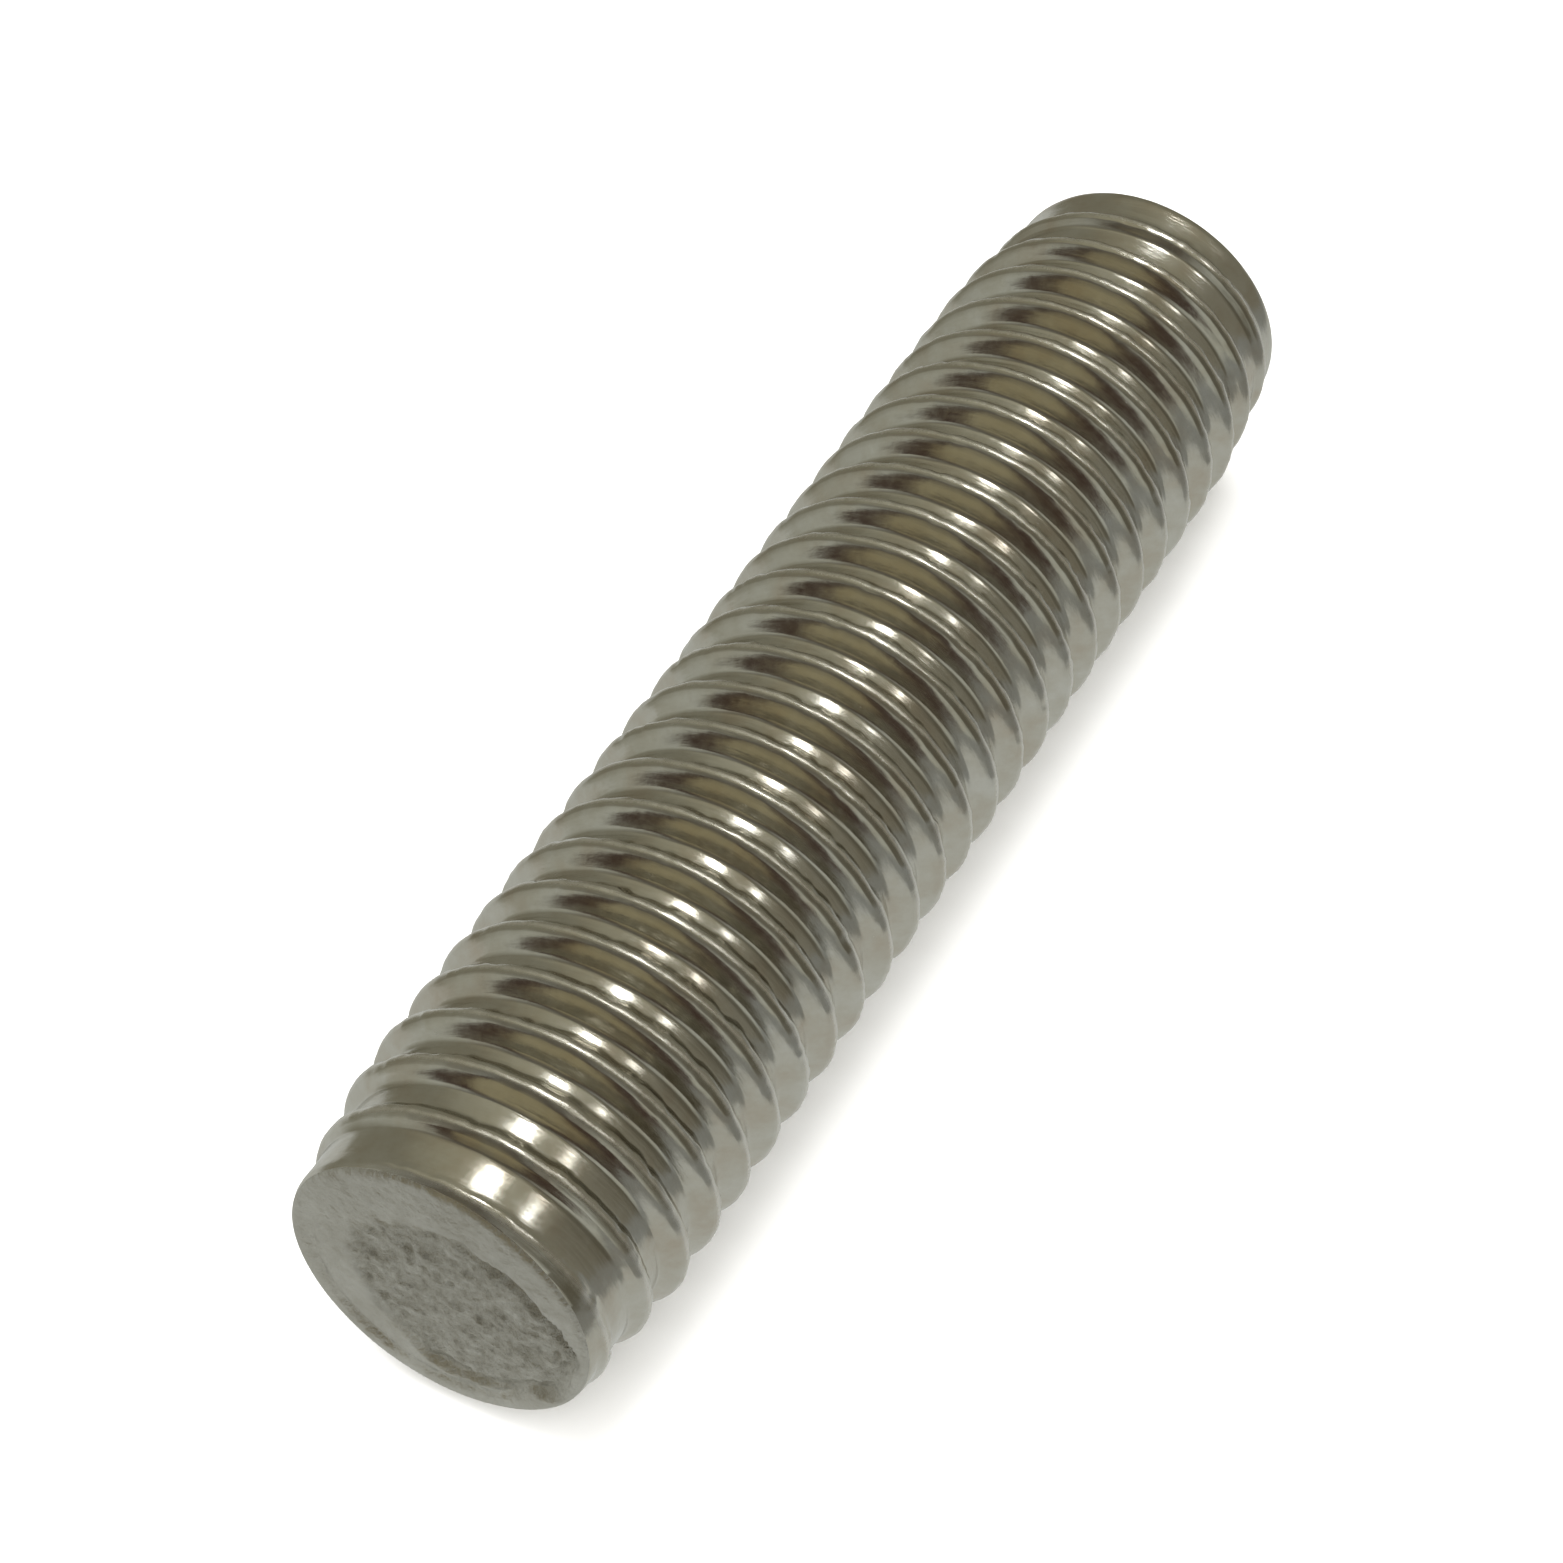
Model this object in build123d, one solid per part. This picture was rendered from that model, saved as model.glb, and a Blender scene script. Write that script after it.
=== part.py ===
from build123d import *
import math
import os

# Fully threaded metric stud, right-hand M8 x 1.25 coarse thread, lying along +X.
# Millimetres. +Z is up, and the origin is the middle of the stud, on its axis.

# Driving dimensions
length = 33.0
nominal_diameter = 8.0
pitch = 1.25
crest_allowance = 0.13      # how far a tolerance 6g crest stays under the nominal diameter
flank_angle = 60.0          # between the two flanks of one groove
root_radius = 0.28          # a rolled thread has a full, round root
end_face_diameter = 6.9
edge_diameter = 7.12        # where the bevel round the end face meets the first turns
edge_bevel_length = 0.25
lead_length = 2.5 * pitch   # turns near each end that are rolled less than full height
crest_angle_at_face = 200.8  # place of the crest at the -X end face, turning about +X from up
bar_overhang = 5.0          # bar stock past each end face while the groove is cut
groove_overhang = 2.9       # how far outside the -X face the groove begins
turns_per_cut = 4
cut_count = 8
groove_clearance = 0.06     # how far the cutting profile stands out past the crests
trim_margin = 1.0           # how far the end trimming stands clear of the bar

# Worked-out dimensions
crest_radius = (nominal_diameter - crest_allowance) / 2
fundamental_height = pitch * math.sqrt(3) / 2
sharp_root_radius = nominal_diameter / 2 - fundamental_height * 7 / 8
root_bottom_radius = sharp_root_radius + root_radius
half_flank = math.radians(flank_angle / 2)


def bar():
    """Plain bar along Z, longer than the stud at both ends."""
    return Pos(0, 0, length / 2) * Cylinder(crest_radius, length + 2 * bar_overhang)


def groove_profile():
    """One section through the groove, in the XZ plane: two flanks and a round root."""
    arc_centre = root_bottom_radius + root_radius
    tangent_radius = arc_centre - root_radius * math.sin(half_flank)
    tangent_height = root_radius * math.cos(half_flank)
    outer_radius = crest_radius + groove_clearance
    outer_height = tangent_height + (outer_radius - tangent_radius) * math.tan(half_flank)
    outer_low = (outer_radius, 0, -outer_height)
    tangent_low = (tangent_radius, 0, -tangent_height)
    bottom = (root_bottom_radius, 0, 0)
    tangent_high = (tangent_radius, 0, tangent_height)
    outer_high = (outer_radius, 0, outer_height)
    edges = [
        Line(outer_low, tangent_low),
        ThreePointArc(tangent_low, bottom, tangent_high),
        Line(tangent_high, outer_high),
        Line(outer_high, outer_low),
    ]
    return Face(Wire(edges))


def groove_cut():
    """A few whole turns of the groove, starting at Z = 0 above the X axis."""
    path = Helix(pitch=pitch, height=turns_per_cut * pitch, radius=root_bottom_radius)
    return sweep(groove_profile(), path=path, is_frenet=True)


def threaded_bar():
    """The bar with its groove, cut as equal lengths that follow on from each other."""
    cut = groove_cut()
    threaded = bar()
    for number in range(cut_count):
        start = number * turns_per_cut * pitch - groove_overhang
        threaded = threaded - Pos(0, 0, start) * cut
    return threaded


def end_trim():
    """What is taken off round the end at Z = 0: the overhang, the bevel and the low first turns."""
    face_radius = end_face_diameter / 2
    edge_radius = edge_diameter / 2
    slope = (crest_radius - edge_radius) / (lead_length - edge_bevel_length)
    top_height = lead_length + trim_margin
    outline = Polyline(
        (0, -bar_overhang - trim_margin),
        (crest_radius + 2 * trim_margin, -bar_overhang - trim_margin),
        (crest_radius + 2 * trim_margin, top_height),
        (crest_radius + slope * trim_margin, top_height),
        (edge_radius, edge_bevel_length),
        (face_radius, 0),
        (0, 0),
        close=True,
    )
    return revolve(Plane.XZ * make_face(outline), axis=Axis.Z)


def threaded_stud():
    """The stud along +X about its middle, with its crest where crest_angle_at_face says."""
    upright = threaded_bar() - end_trim()
    upright = upright - Pos(0, 0, length) * Rot(180, 0, 0) * end_trim()
    # At Z = 0 the groove's bottom is at this angle about Z, and the crest is opposite it.
    groove_angle = 360 * groove_overhang / pitch
    turned = Rot(0, 0, crest_angle_at_face - groove_angle - 180) * upright
    # Local Z goes to +X and local X to +Z, so the angles above turn about +X from up.
    along_x = Plane(origin=(-length / 2, 0, 0), x_dir=(0, 0, 1), z_dir=(1, 0, 0))
    return along_x.location * turned


os.makedirs("parts", exist_ok=True)
export_step(threaded_stud(), "parts/threaded_stud.step")
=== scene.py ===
import math

import bpy
import numpy as np
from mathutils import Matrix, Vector


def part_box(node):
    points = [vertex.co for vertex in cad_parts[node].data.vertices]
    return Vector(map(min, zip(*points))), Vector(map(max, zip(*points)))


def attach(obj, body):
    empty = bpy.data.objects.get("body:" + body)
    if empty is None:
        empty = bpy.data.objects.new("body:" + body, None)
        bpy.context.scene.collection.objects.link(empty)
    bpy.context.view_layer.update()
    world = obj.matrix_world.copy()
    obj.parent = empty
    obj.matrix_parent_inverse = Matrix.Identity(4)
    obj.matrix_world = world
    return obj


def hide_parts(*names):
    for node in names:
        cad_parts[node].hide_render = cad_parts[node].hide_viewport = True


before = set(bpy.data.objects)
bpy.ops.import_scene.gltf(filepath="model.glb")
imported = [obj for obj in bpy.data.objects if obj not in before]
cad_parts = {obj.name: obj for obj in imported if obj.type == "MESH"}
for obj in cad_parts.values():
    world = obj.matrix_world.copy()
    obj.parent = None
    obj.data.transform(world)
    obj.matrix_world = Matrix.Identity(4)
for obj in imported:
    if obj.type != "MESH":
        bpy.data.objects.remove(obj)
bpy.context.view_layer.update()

MM = 0.001

# ---------------------------------------------------------------- the stud's sizes, in metres
stud_low, stud_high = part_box("threaded_stud")
LENGTH = stud_high.x - stud_low.x
LEFT_END = stud_low.x
BOX_CLEARANCE = 0.004 * MM
CREST_RADIUS = (stud_high.z - stud_low.z) / 2 - BOX_CLEARANCE
FLOOR_HEIGHT = stud_low.z
PITCH = 1.25 * MM
THREAD_DEPTH = 0.45 * MM
ROOT_RADIUS = CREST_RADIUS - THREAD_DEPTH
FLANK_SLOPE = math.tan(math.radians(56.25))
CREST_FLAT = 0.035 * MM
SHOULDER_WIDTH = 0.13 * MM
SHOULDER_SLOPE = math.tan(math.radians(22))
CREST_ROUNDING = 0.02 * MM
ROOT_ROUNDING = 0.05 * MM
FLANK_ROUNDING = 0.05 * MM
ROOT_BOW = 0.10 / MM
CREST_TURN_AT_LEFT_END = math.radians(200.8)

# ends: the crest tapers in a straight lead, then a short bevel meets the flat face
FACE_RADIUS = 3.45 * MM
EDGE_RADIUS = 3.56 * MM
EDGE_BEVEL = 0.25 * MM
LEAD_LENGTH = 2.5 * PITCH

# the left end was sheared a little out of square: it leans back towards this side of the stud, as (y, z)
UP_THE_FACE = (-math.sin(math.radians(22)), math.cos(math.radians(22)))
FACE_LEAN = math.tan(math.radians(2.2))
EDGE_SETBACK = 0.10 * MM
LEFT_DRIFT = 0.14 * MM      # the first turn lies a little nearer to the left end than the pitch says

# the torn part of each end face: middle and half sizes of an ellipse, as (along, across) the face
TORN_MIDDLE_LEFT = (0.5 * MM, -0.05 * MM)
TORN_SIZE_LEFT = (2.55 * MM, 2.3 * MM)
TORN_MIDDLE_RIGHT = (0.25 * MM, 0.20 * MM)
TORN_SIZE_RIGHT = (2.6 * MM, 2.4 * MM)

# relief of an end face, in millimetres under the face plane
TORN_DEPTH = 0.08
SMOOTH_DEPTH = 0.03
STEP_DEPTH = 0.16
CREASE_DEPTH = 0.09
LEAST_DEPTH = 0.004
MOST_DEPTH = 0.4

STEPS_PER_TURN = 290
FACE_RINGS = 42

rng = np.random.default_rng(71)


# ---------------------------------------------------------------- noise and small maths
def periodic_noise(count, knots):
    """Values of unit spread round a closed path: random knots joined by a smooth curve."""
    values = rng.standard_normal(knots)
    place = np.arange(count) * knots / count
    index = np.floor(place).astype(int)
    part = place - index
    part = part * part * (3 - 2 * part)
    return values[index % knots] * (1 - part) + values[(index + 1) % knots] * part


def lower_of(a, b, width):
    """The lower of two heights, with the corner between them rounded over width."""
    mix = np.clip(0.5 + 0.5 * (b - a) / width, 0, 1)
    return b * (1 - mix) + a * mix - width * mix * (1 - mix)


def smooth_step(value, low, high):
    """0 below low, 1 above high, and a smooth rise between them."""
    t = np.clip((value - low) / (high - low), 0, 1)
    return t * t * (3 - 2 * t)


def field(shape_points, spacing, seed):
    """Smooth 2-D noise of unit spread at points given in metres; spacing is the size of its patches."""
    gen = np.random.default_rng(seed)
    grid = gen.standard_normal((64, 64))
    u = shape_points[..., 0] / spacing
    v = shape_points[..., 1] / spacing
    iu = np.floor(u).astype(int)
    iv = np.floor(v).astype(int)
    fu = u - iu
    fv = v - iv
    fu = fu * fu * (3 - 2 * fu)
    fv = fv * fv * (3 - 2 * fv)
    low = grid[iu % 64, iv % 64] * (1 - fu) + grid[(iu + 1) % 64, iv % 64] * fu
    high = grid[iu % 64, (iv + 1) % 64] * (1 - fu) + grid[(iu + 1) % 64, (iv + 1) % 64] * fu
    return low * (1 - fv) + high * fv


# ---------------------------------------------------------------- the threaded body
def row_offsets():
    """Where the grid's rows lie across one pitch, from the crest line: close together on the crest."""
    crest = np.linspace(-0.16, 0.16, 13)
    flank = np.linspace(0.24, 0.38, 3)
    root = np.linspace(0.42, 0.83, 6)
    back = np.linspace(0.87, 1.01, 3)
    return np.concatenate([crest, flank, root, back]) * MM


OFFSETS = row_offsets()
ROWS_PER_PITCH = len(OFFSETS)
TURNS = int(math.ceil(LENGTH / PITCH)) + 3


def body_grid():
    """x, radius and turn of every grid point; rows follow the thread, columns run along the stud."""
    turn = np.arange(STEPS_PER_TURN) * 2 * math.pi / STEPS_PER_TURN
    first_crest = LEFT_END - PITCH * CREST_TURN_AT_LEFT_END / (2 * math.pi) - PITCH
    lap = np.arange(TURNS)
    row_x = (first_crest + lap[:, None] * PITCH + OFFSETS[None, :]).ravel()
    offset = np.tile(OFFSETS, TURNS)
    offset = np.where(offset > PITCH / 2, offset - PITCH, offset)
    x = row_x[None, :] + PITCH * turn[:, None] / (2 * math.pi)
    crest_lap = np.repeat(lap, ROWS_PER_PITCH) + np.tile(OFFSETS > PITCH / 2, TURNS)
    path = (crest_lap[None, :] * STEPS_PER_TURN + np.arange(STEPS_PER_TURN)[:, None])
    x = x - LEFT_DRIFT * (1 - smooth_step(x, LEFT_END, LEFT_END + 2 * PITCH))
    left_limit, right_limit = end_limits(turn[:, None])
    before = x <= left_limit
    beyond = x >= right_limit
    inside = np.clip(x, left_limit, right_limit)
    from_end = np.minimum(inside - left_limit, right_limit - inside)
    offset = offset[None, :] + (inside - x)
    offset = (offset / PITCH - np.round(offset / PITCH)) * PITCH
    return inside, before, beyond, from_end, offset, path, np.broadcast_to(turn[:, None], x.shape)


def thread_radius(from_end, offset, path):
    """Radius of the rolled thread: narrow ragged crest, straight flanks, bowed root, tapered ends."""
    total = STEPS_PER_TURN * (TURNS + 2)
    steps = lambda size: max(4, int(total * (2 * math.pi * CREST_RADIUS / STEPS_PER_TURN) / size))
    ragged = periodic_noise(total, steps(0.22 * MM)) * 0.7 + periodic_noise(total, steps(0.6 * MM)) * 0.5
    far_edge = CREST_FLAT + 0.026 * MM * ragged
    near_edge = CREST_FLAT + 0.008 * MM * periodic_noise(total, steps(0.9 * MM))
    dip = 0.008 * MM * np.abs(periodic_noise(total, steps(0.35 * MM)))
    root_swell = 0.004 * MM * periodic_noise(total, steps(1.1 * MM))
    path = path % total
    edge = np.where(offset > 0, far_edge[path], near_edge[path])
    slope = (CREST_RADIUS - EDGE_RADIUS) / (LEAD_LENGTH - EDGE_BEVEL)
    lead = EDGE_RADIUS + slope * (from_end - EDGE_BEVEL)
    top = lower_of(np.full(offset.shape, CREST_RADIUS), lead, FLANK_ROUNDING)
    shoulder = top - (np.abs(offset) - edge) * SHOULDER_SLOPE
    flank_start = edge + SHOULDER_WIDTH
    flank = top - SHOULDER_WIDTH * SHOULDER_SLOPE - (np.abs(offset) - flank_start) * FLANK_SLOPE
    height = lower_of(lower_of(top, shoulder, CREST_ROUNDING), flank, FLANK_ROUNDING)
    height -= dip[path] * (1 - smooth_step(np.abs(offset), 0.1 * MM, 0.2 * MM))
    from_middle = PITCH / 2 - np.abs(offset)
    root = -ROOT_RADIUS - root_swell[path] - from_middle ** 2 * ROOT_BOW
    height = -lower_of(-height, root, ROOT_ROUNDING)

    bevel = FACE_RADIUS + (EDGE_RADIUS - FACE_RADIUS) / EDGE_BEVEL * from_end
    return lower_of(height, bevel, FLANK_ROUNDING)


def end_limits(turn):
    """x of the rim at the left and at the right end, for points at these turns about +X from up."""
    y = -FACE_RADIUS * np.sin(turn)
    z = FACE_RADIUS * np.cos(turn)
    left = LEFT_END + face_tilt(y, z, -1) + EDGE_SETBACK
    right = np.full_like(left, LEFT_END + LENGTH - EDGE_SETBACK)
    return left, right


def face_tilt(place_y, place_z, side):
    """How far the sheared left end leans back: nothing at its lowest point, most at its top."""
    if side > 0:
        return np.zeros_like(place_y)
    rise = place_y * UP_THE_FACE[0] + place_z * UP_THE_FACE[1]
    return (rise + FACE_RADIUS) * FACE_LEAN


def face_relief(place_y, place_z, share, side):
    """How deep each point of an end face lies under the face plane, and how torn it is there."""
    points = np.stack([place_y, place_z], axis=-1)
    if side < 0:
        along = -UP_THE_FACE[1] * place_y + UP_THE_FACE[0] * place_z
        across = UP_THE_FACE[0] * place_y + UP_THE_FACE[1] * place_z
        centre = TORN_MIDDLE_LEFT
        size = TORN_SIZE_LEFT
    else:
        along = place_y
        across = place_z
        centre = TORN_MIDDLE_RIGHT
        size = TORN_SIZE_RIGHT
    wobble = 1 + 0.05 * field(points, 0.9 * MM, 11 + side) + 0.025 * field(points, 0.35 * MM, 12 + side)
    ring = np.hypot((along - centre[0]) / size[0], (across - centre[1]) / size[1]) * wobble
    torn = 1 - smooth_step(ring, 0.88, 1.04)
    grain = 0.020 * field(points, 0.15 * MM, 13 + side) + 0.028 * field(points, 0.33 * MM, 14 + side)
    lower_side = smooth_step(along / size[0], -0.5, 0.5)
    step = STEP_DEPTH * smooth_step(ring, 0.84, 0.97) * (1 - smooth_step(ring, 0.99, 1.04)) * lower_side
    smooth_part = SMOOTH_DEPTH + 0.012 * field(points, 0.8 * MM, 15 + side)
    depth = torn * (TORN_DEPTH + grain) + (1 - torn) * smooth_part + step
    far_side = smooth_step(-across / size[1], 0.0, 0.7)
    crease = CREASE_DEPTH * np.exp(-((share - 0.86) / 0.03) ** 2) * far_side
    depth += crease * (1 - 0.3 * field(points, 0.5 * MM, 16 + side))
    edge = np.clip((share - 0.90) / 0.10, 0, 1)
    rounded = 1 - np.sqrt(1 - edge ** 2 * 0.98)
    depth = np.clip(depth, LEAST_DEPTH, MOST_DEPTH) * MM * (1 - edge) + EDGE_SETBACK * rounded
    return depth, torn * (1 - edge)


def stud_mesh():
    """The whole stud as one closed surface: vertices, faces, how many faces are thread, and marks."""
    x, before, beyond, from_end, offset, path, turn = body_grid()
    radius = thread_radius(from_end, offset, path)
    y = -radius * np.sin(turn)
    z = radius * np.cos(turn)
    verts = [np.stack([x, y, z], axis=-1).reshape(-1, 3)]
    # one mark per point for the materials: how worn a crest is, together with a painted highlight along the
    # crest line, or how torn an end face is
    crest_wear_and_sheen = np.exp(-((offset - 0.015 * MM) / (0.055 * MM)) ** 2) * smooth_step(from_end, 0, 0.2 * MM)
    marks = [crest_wear_and_sheen.ravel()]
    columns, rows = x.shape
    ids = np.arange(columns * rows).reshape(columns, rows)

    # every grid point beyond an end is the same point as the rim there
    left_rim = ids[np.arange(columns), before.sum(axis=1) - 1]
    right_rim = ids[np.arange(columns), rows - beyond.sum(axis=1)]
    ids = np.where(before, left_rim[:, None], ids)
    ids = np.where(beyond, right_rim[:, None], ids)

    spare = np.broadcast_to(right_rim[0], (ROWS_PER_PITCH,))
    after = np.vstack([ids[1:], np.concatenate([ids[0, ROWS_PER_PITCH:], spare])[None, :]])
    quads = np.stack([ids[:, :-1], after[:, :-1], after[:, 1:], ids[:, 1:]], axis=-1).reshape(-1, 4)
    body = []
    for quad in quads.tolist():
        corners = []
        for corner in quad:
            if corner not in corners:
                corners.append(corner)
        if len(corners) > 2:
            body.append(tuple(corners))

    # end faces: rings that shrink from the rim to one middle point
    faces = list(body)
    used = columns * rows
    for side, rim, end_x in ((-1, left_rim, LEFT_END), (1, right_rim, LEFT_END + LENGTH)):
        rim_turn = turn[:, 0]
        rim_radius = radius.ravel()[rim]
        last = rim
        for ring in range(1, FACE_RINGS):
            share = 1 - ring / FACE_RINGS
            ring_radius = rim_radius * share
            y = -ring_radius * np.sin(rim_turn)
            z = ring_radius * np.cos(rim_turn)
            depth, torn = face_relief(y, z, np.full_like(y, share), side)
            marks.append(torn)
            verts.append(np.stack([end_x - side * depth + face_tilt(y, z, side), y, z], axis=-1))
            now = used + np.arange(columns)
            used += columns
            a = last
            b = np.roll(last, -1)
            c = np.roll(now, -1)
            d = now
            strip = np.stack([a, d, c, b] if side < 0 else [a, b, c, d], axis=-1)
            faces += [tuple(q) for q in strip.tolist()]
            last = now
        middle = verts[-1].mean(axis=0)
        verts.append(middle[None, :])
        marks.append(np.ones(1))
        a = last
        b = np.roll(last, -1)
        tip = np.full(columns, used)
        used += 1
        faces += [tuple(q) for q in np.stack([a, tip, b] if side < 0 else [a, b, tip], axis=-1).tolist()]
    return np.concatenate(verts), faces, len(body), np.concatenate(marks)


def remove_unused(verts, faces, marks):
    """The same surface without the points that no face uses."""
    used = np.unique(np.concatenate([np.array(f) for f in faces]))
    renumber = np.full(len(verts), -1)
    renumber[used] = np.arange(len(used))
    flat = renumber[np.concatenate([np.array(f) for f in faces])].tolist()
    fresh = []
    start = 0
    for f in faces:
        fresh.append(tuple(flat[start:start + len(f)]))
        start += len(f)
    return verts[used], fresh, marks[used]


verts, faces, body_count, marks = stud_mesh()
verts, faces, marks = remove_unused(verts, faces, marks)
mesh = bpy.data.meshes.new("stud_body")
mesh.from_pydata(verts.tolist(), [], faces)
mesh.update()
stud = bpy.data.objects.new("stud_body", mesh)
bpy.context.scene.collection.objects.link(stud)
mesh.polygons.foreach_set("use_smooth", np.ones(len(mesh.polygons), dtype=bool))
mesh.attributes.new("mark", "FLOAT", "POINT").data.foreach_set("value", marks.astype(np.float32))
index = np.zeros(len(mesh.polygons), dtype=np.int32)
index[body_count:] = 1


# ---------------------------------------------------------------- materials
class Nodes:
    """Short spelling for building a node tree."""

    def __init__(self, name):
        self.material = bpy.data.materials.new(name)
        self.material.use_nodes = True
        self.tree = self.material.node_tree
        self.bsdf = self.tree.nodes["Principled BSDF"]

    def add(self, kind, **settings):
        node = self.tree.nodes.new(kind)
        for key, value in settings.items():
            setattr(node, key, value)
        return node

    def link(self, source, target):
        self.tree.links.new(source, target)

    def math(self, operation, first, second=None):
        node = self.add("ShaderNodeMath", operation=operation)
        for socket, value in zip(node.inputs, (first, second)):
            if value is None:
                continue
            if isinstance(value, (int, float)):
                socket.default_value = value
            else:
                self.link(value, socket)
        return node.outputs[0]

    def noise(self, vector, scale, detail=3.0, roughness=0.55):
        node = self.add("ShaderNodeTexNoise")
        node.inputs["Scale"].default_value = scale
        node.inputs["Detail"].default_value = detail
        node.inputs["Roughness"].default_value = roughness
        self.link(vector, node.inputs["Vector"])
        return node.outputs["Fac"]

    def ramp(self, value, stops):
        node = self.add("ShaderNodeValToRGB")
        elements = node.color_ramp.elements
        while len(elements) < len(stops):
            elements.new(0.5)
        for element, (place, colour) in zip(elements, stops):
            element.position = place
            element.color = (*colour, 1)
        self.link(value, node.inputs["Fac"])
        return node.outputs["Color"]

    def spread(self, value, low, high):
        node = self.add("ShaderNodeMapRange")
        node.inputs["From Min"].default_value = 0.3
        node.inputs["From Max"].default_value = 0.7
        node.inputs["To Min"].default_value = low
        node.inputs["To Max"].default_value = high
        self.link(value, node.inputs["Value"])
        return node.outputs["Result"]

    def unrolled(self, along_scale, round_scale):
        """Place on the surface, along the stud and round it, for marks that run with the thread."""
        coordinates = self.add("ShaderNodeTexCoord").outputs["Object"]
        parts = self.add("ShaderNodeSeparateXYZ")
        self.link(coordinates, parts.inputs[0])
        angle = self.math("ARCTAN2", parts.outputs["Y"], parts.outputs["Z"])
        lead = self.math("MULTIPLY", angle, PITCH / (2 * math.pi))
        along = self.math("ADD", parts.outputs["X"], lead)
        join = self.add("ShaderNodeCombineXYZ")
        self.link(self.math("MULTIPLY", along, along_scale), join.inputs["X"])
        self.link(self.math("MULTIPLY", self.math("SINE", angle), round_scale), join.inputs["Y"])
        self.link(self.math("MULTIPLY", self.math("COSINE", angle), round_scale), join.inputs["Z"])
        return join.outputs[0]

    def mark(self):
        return self.add("ShaderNodeAttribute", attribute_name="mark").outputs["Fac"]

    def blend(self, share, first, second):
        """Colour from first to second; second may be a plain colour."""
        node = self.add("ShaderNodeMix", data_type="RGBA")
        self.link(share, node.inputs["Factor"])
        self.link(first, node.inputs["A"])
        if isinstance(second, tuple):
            node.inputs["B"].default_value = (*second, 1)
        else:
            self.link(second, node.inputs["B"])
        return node.outputs["Result"]

    def bump(self, height, strength, distance, normal=None):
        node = self.add("ShaderNodeBump")
        node.inputs["Strength"].default_value = strength
        node.inputs["Distance"].default_value = distance
        self.link(height, node.inputs["Height"])
        if normal is not None:
            self.link(normal, node.inputs["Normal"])
        return node.outputs["Normal"]


def rolled_steel():
    n = Nodes("rolled_steel")
    place = n.add("ShaderNodeTexCoord").outputs["Object"]
    patches = n.noise(place, 900, 4, 0.6)
    colour = n.ramp(patches, (
        (0.30, (0.50, 0.455, 0.375)),
        (0.50, (0.545, 0.525, 0.455)),
        (0.70, (0.60, 0.59, 0.535)),
    ))
    n.bsdf.inputs["Metallic"].default_value = 1.0
    streaks = n.noise(n.unrolled(14000, 6.0), 1.0, 4, 0.6)
    fine = n.noise(place, 5200, 3, 0.6)
    # crest line: lighter and rougher steel, partly rolled wear and partly a painted highlight standing in
    # for the bright glint along each crest
    crest_wear_and_sheen = n.math("MULTIPLY", n.mark(), n.spread(fine, 0.55, 1.1))
    n.link(n.blend(crest_wear_and_sheen, colour, (0.80, 0.78, 0.72)), n.bsdf.inputs["Base Color"])
    rough = n.math("ADD", n.spread(streaks, 0.13, 0.23), n.spread(fine, -0.02, 0.05))
    n.link(n.math("ADD", rough, n.math("MULTIPLY", crest_wear_and_sheen, 0.20)), n.bsdf.inputs["Roughness"])
    normal = n.bump(streaks, 0.5, 0.009 * MM)
    normal = n.bump(fine, 0.2, 0.008 * MM, normal)
    normal = n.bump(n.noise(place, 1300, 2), 0.15, 0.02 * MM, normal)
    n.link(normal, n.bsdf.inputs["Normal"])
    return n.material


def sheared_steel():
    n = Nodes("sheared_steel")
    place = n.add("ShaderNodeTexCoord").outputs["Object"]
    patches = n.noise(place, 3600, 6, 0.7)
    colour = n.ramp(patches, (
        (0.34, (0.36, 0.345, 0.30)),
        (0.44, (0.49, 0.475, 0.42)),
        (0.56, (0.56, 0.55, 0.50)),
        (0.70, (0.68, 0.67, 0.62)),
    ))
    torn = n.mark()
    rubbed = n.ramp(n.noise(place, 800, 4, 0.6), ((0.3, (0.50, 0.485, 0.43)), (0.7, (0.60, 0.59, 0.54))))
    n.link(n.blend(torn, rubbed, colour), n.bsdf.inputs["Base Color"])
    n.bsdf.inputs["Metallic"].default_value = 1.0
    grain = n.noise(place, 4200, 5, 0.7)
    n.link(n.spread(grain, 0.38, 0.55), n.bsdf.inputs["Roughness"])
    crumbs = n.math("MULTIPLY", grain, n.math("ADD", n.math("MULTIPLY", torn, 0.85), 0.15))
    normal = n.bump(crumbs, 1.0, 0.14 * MM)
    normal = n.bump(n.noise(place, 1700, 4, 0.6), 0.8, 0.16 * MM, normal)
    n.link(normal, n.bsdf.inputs["Normal"])
    return n.material


mesh.materials.append(rolled_steel())
mesh.materials.append(sheared_steel())
mesh.polygons.foreach_set("material_index", index)
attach(stud, "root")
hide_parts("threaded_stud")


# ---------------------------------------------------------------- stage
def sheet(name, low, high, height, material):
    """A flat rectangle from its low corner to its high corner, both (x, y)."""
    corners = [(low[0], low[1], 0), (high[0], low[1], 0), (high[0], high[1], 0), (low[0], high[1], 0)]
    flat = bpy.data.meshes.new(name)
    flat.from_pydata(corners, [], [(0, 1, 2, 3)])
    flat.materials.append(material)
    thing = bpy.data.objects.new(name, flat)
    thing.location = (0, 0, height)
    bpy.context.scene.collection.objects.link(thing)
    return thing


def glow(name, strength):
    n = Nodes(name)
    emit = n.add("ShaderNodeEmission")
    emit.inputs["Color"].default_value = (0.95, 0.97, 0.93, 1)
    emit.inputs["Strength"].default_value = strength
    n.link(emit.outputs[0], n.tree.nodes["Material Output"].inputs["Surface"])
    return n.material


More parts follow.
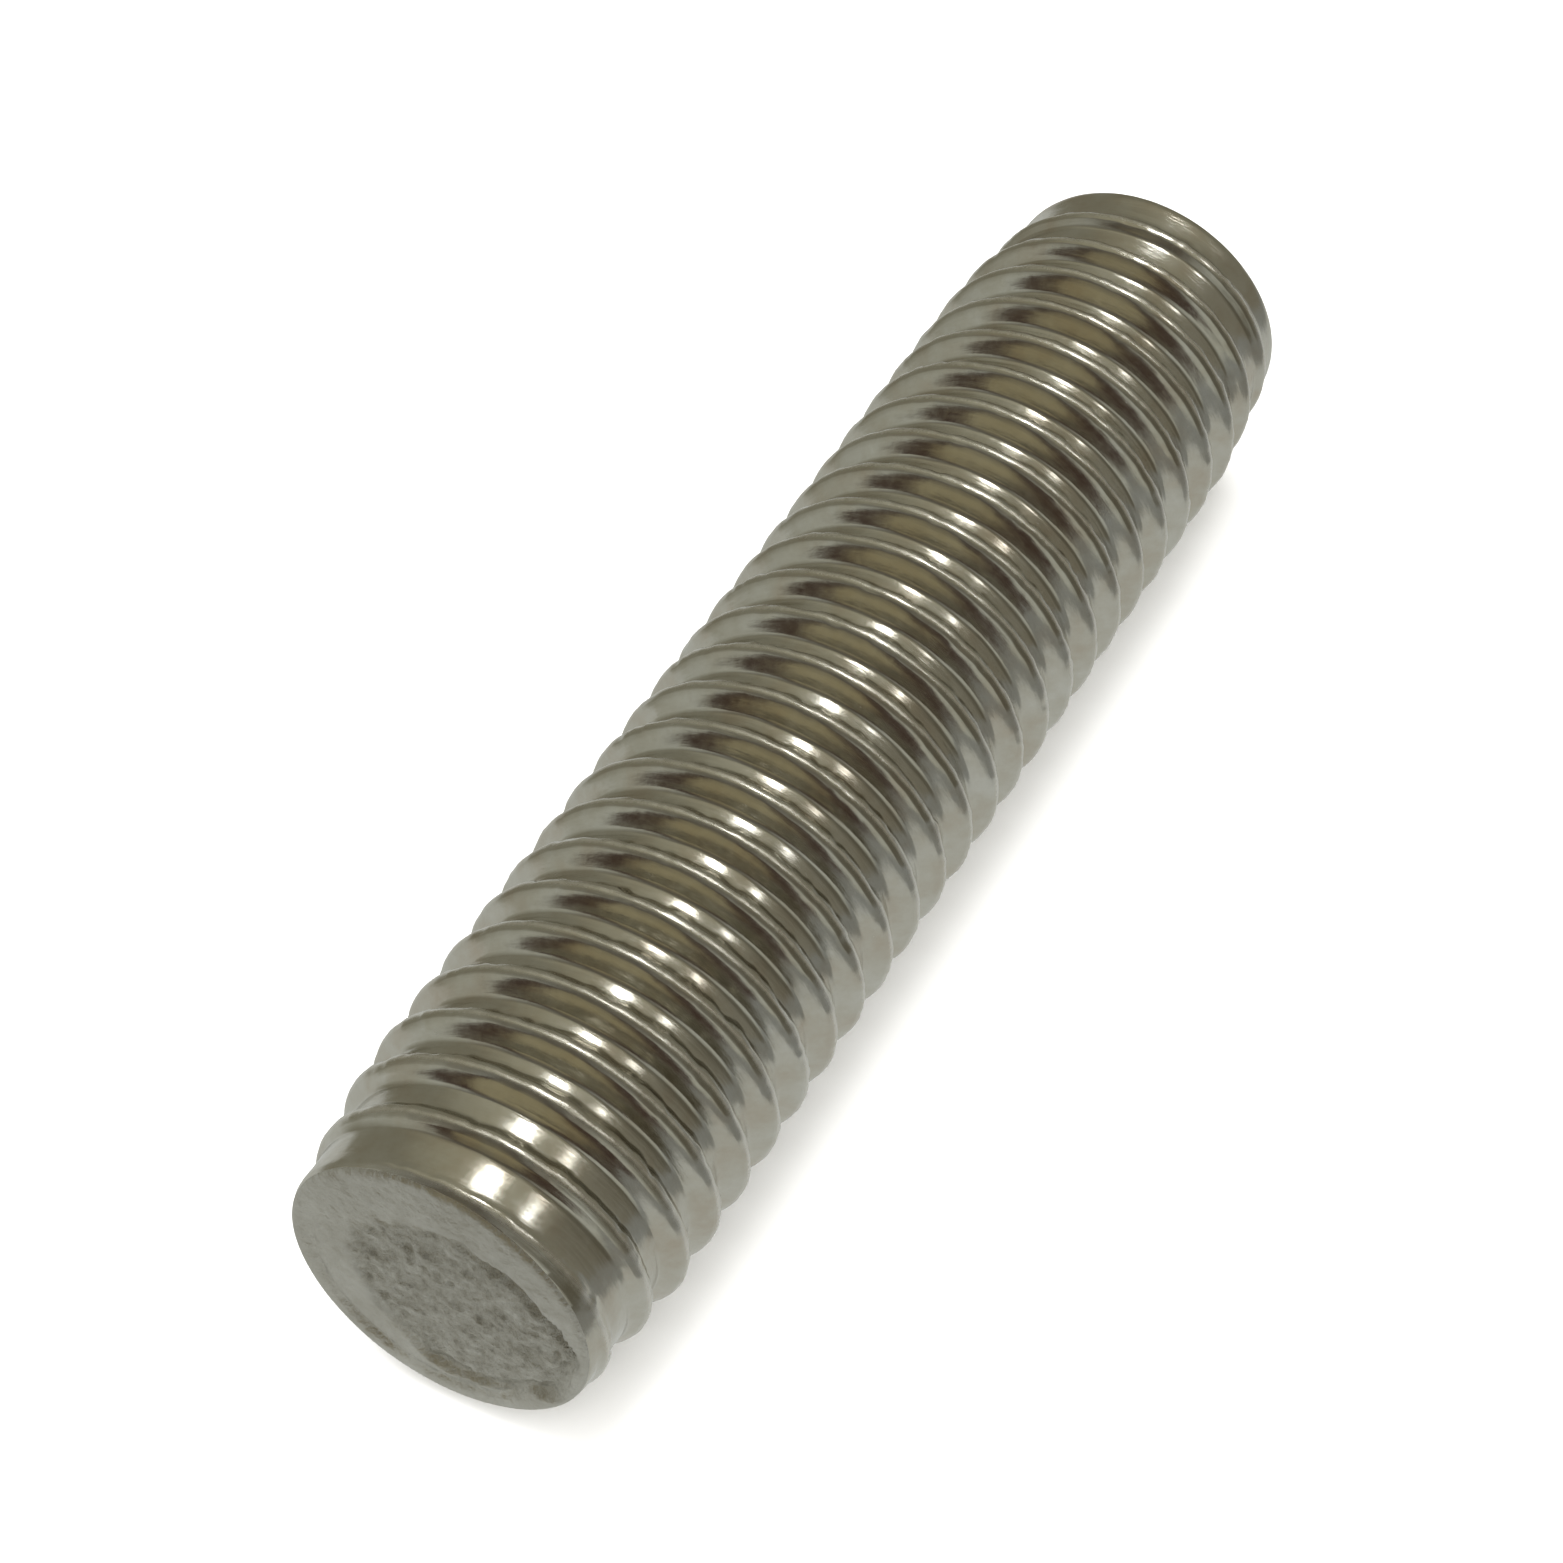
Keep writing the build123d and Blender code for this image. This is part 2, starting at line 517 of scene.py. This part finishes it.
def lay_floor():
    """Pale paper, and on it the patches of light and half light that the bright steel mirrors."""
    paper = Nodes("paper")
    paper.bsdf.inputs["Base Color"].default_value = (0.93, 0.93, 0.93, 1)
    paper.bsdf.inputs["Roughness"].default_value = 0.95
    floor = sheet("floor", (-2, -2), (2, 2), FLOOR_HEIGHT, paper.material)
    floor.visible_glossy = False
    bright = glow("bright_paper", 0.62)
    shaded = glow("shaded_paper", 0.30)
    patches = (
        ("under", (-24, -10), (45, 23), bright),
        ("behind_left", (-37, 8), (-24, 23), bright),
        ("side", (-37, -23), (45, -10), shaded),
        ("left", (-37, -10), (-24, 8), shaded),
    )
    for name, low, high, material in patches:
        low = (low[0] * MM, low[1] * MM)
        high = (high[0] * MM, high[1] * MM)
        patch = sheet("mirrored_" + name, low, high, FLOOR_HEIGHT + 0.02 * MM, material)
        patch.visible_camera = False
        patch.visible_diffuse = False
        patch.visible_shadow = False
        patch.visible_transmission = False


lay_floor()


def studio_world():
    """A soft room: pale overhead, olive and dark tones low down beyond the stud's left end."""
    world = bpy.data.worlds.new("studio")
    world.use_nodes = True
    bpy.context.scene.world = world
    tree = world.node_tree
    back = tree.nodes["Background"]

    def add(kind, **settings):
        node = tree.nodes.new(kind)
        for key, value in settings.items():
            setattr(node, key, value)
        return node

    coordinates = add("ShaderNodeTexCoord")
    parts = add("ShaderNodeSeparateXYZ")
    tree.links.new(coordinates.outputs["Generated"], parts.inputs[0])
    flip = add("ShaderNodeMath", operation="MULTIPLY")
    flip.inputs[1].default_value = -1
    tree.links.new(parts.outputs["X"], flip.inputs[0])
    azimuth = add("ShaderNodeMath", operation="ARCTAN2")
    tree.links.new(parts.outputs["Y"], azimuth.inputs[0])
    tree.links.new(flip.outputs[0], azimuth.inputs[1])
    turn = add("ShaderNodeMapRange")
    turn.inputs["From Min"].default_value = -math.pi
    turn.inputs["From Max"].default_value = math.pi
    tree.links.new(azimuth.outputs[0], turn.inputs["Value"])
    around = add("ShaderNodeValToRGB")
    light_wall = (0.52, 0.53, 0.48)
    olive = (0.34, 0.30, 0.19)
    dark = (0.07, 0.048, 0.038)
    stops = (
        (-180, (0.24, 0.23, 0.18)), (-125, (0.25, 0.235, 0.19)), (-105, (0.14, 0.13, 0.10)),
        (-80, (0.14, 0.13, 0.10)), (-55, light_wall), (-42, light_wall),
        (-36, dark), (-19, dark), (-12, olive), (22, olive), (28, dark), (40, dark), (45, light_wall),
        (90, (0.26, 0.25, 0.20)), (180, (0.24, 0.23, 0.18)),
    )
    elements = around.color_ramp.elements
    while len(elements) < len(stops):
        elements.new(0.5)
    for element, (degrees, colour) in zip(elements, stops):
        element.position = 0.5 + degrees / 360
        element.color = (*colour, 1)
    tree.links.new(turn.outputs["Result"], around.inputs["Fac"])

    ceiling = add("ShaderNodeValToRGB")
    elements = ceiling.color_ramp.elements
    elements[0].position = 0.42
    elements[0].color = (0.13, 0.12, 0.10, 1)
    elements[1].position = 0.64
    elements[1].color = (0.46, 0.44, 0.34, 1)
    along = add("ShaderNodeMapRange")
    along.inputs["From Min"].default_value = -1
    along.inputs["From Max"].default_value = 1
    tree.links.new(parts.outputs["X"], along.inputs["Value"])
    tree.links.new(along.outputs["Result"], ceiling.inputs["Fac"])

    height = add("ShaderNodeValToRGB")
    overhead = ((0.0, 0.0), (0.42, 0.0), (0.75, 0.6), (1.0, 1.0))
    elements = height.color_ramp.elements
    while len(elements) < len(overhead):
        elements.new(0.5)
    for element, (place, value) in zip(elements, overhead):
        element.position = place
        element.color = (value, value, value, 1)
    tree.links.new(parts.outputs["Z"], height.inputs["Fac"])
    mix = add("ShaderNodeMix", data_type="RGBA")
    tree.links.new(height.outputs["Color"], mix.inputs["Factor"])
    tree.links.new(around.outputs["Color"], mix.inputs["A"])
    tree.links.new(ceiling.outputs["Color"], mix.inputs["B"])
    tree.links.new(mix.outputs["Result"], back.inputs["Color"])
    back.inputs["Strength"].default_value = 1.0


studio_world()


LAMP_HEIGHT = 0.4
LAMP_RISE = math.radians(61.5)     # how steeply the strips stand over the middle, seen from the side


def strip_light(name, side_angle, width, length, power):
    """A strip along X; side_angle is how far it stands from straight up, towards -Y, in degrees."""
    side = math.radians(side_angle)
    x = LAMP_HEIGHT / math.tan(LAMP_RISE)
    direction = Vector((0, -math.sin(side), math.cos(side)))
    lamp = bpy.data.lights.new(name, "AREA")
    lamp.shape = "RECTANGLE"
    lamp.size = length
    lamp.size_y = width
    lamp.energy = power
    thing = bpy.data.objects.new(name, lamp)
    thing.location = direction * LAMP_HEIGHT + Vector((x, 0, 0))
    thing.rotation_euler = (side, 0, 0)
    bpy.context.scene.collection.objects.link(thing)


strip_light("tube_high", 6, 0.075, 0.11, 0.30)
strip_light("tube_side", 40.5, 0.04, 0.11, 0.065)


def soft_fill(name, place, size, power):
    """A broad soft light that brightens the paper and softens shadows, and leaves no glint on the steel."""
    lamp = bpy.data.lights.new(name, "AREA")
    lamp.shape = "DISK"
    lamp.size = size
    lamp.energy = power
    thing = bpy.data.objects.new(name, lamp)
    thing.location = place
    thing.rotation_mode = "QUATERNION"
    thing.rotation_quaternion = Vector(place).to_track_quat("Z", "Y")
    thing.visible_glossy = False
    bpy.context.scene.collection.objects.link(thing)


soft_fill("fill_left", (-0.35, -0.20, 0.55), 0.7, 6.0)
soft_fill("fill_top", (0.1, 0.25, 0.7), 0.8, 6.0)

# ---------------------------------------------------------------- camera
CAMERA_PLACE = Vector((-49.98, -26.31, 65.28)) * MM
CAMERA_AIM = Vector((-1.33, 0.44, 0)) * MM
LENS = 89.27
SENSOR_WIDTH = 36

cam_data = bpy.data.cameras.new("camera")
cam_data.sensor_width = SENSOR_WIDTH
cam_data.lens = LENS
camera = bpy.data.objects.new("camera", cam_data)
camera.location = CAMERA_PLACE
camera.rotation_mode = "QUATERNION"
camera.rotation_quaternion = (CAMERA_PLACE - CAMERA_AIM).to_track_quat("Z", "Y")
cam_data.clip_start = 0.001
bpy.context.scene.collection.objects.link(camera)
bpy.context.scene.camera = camera
bpy.context.scene.view_settings.view_transform = "Standard"
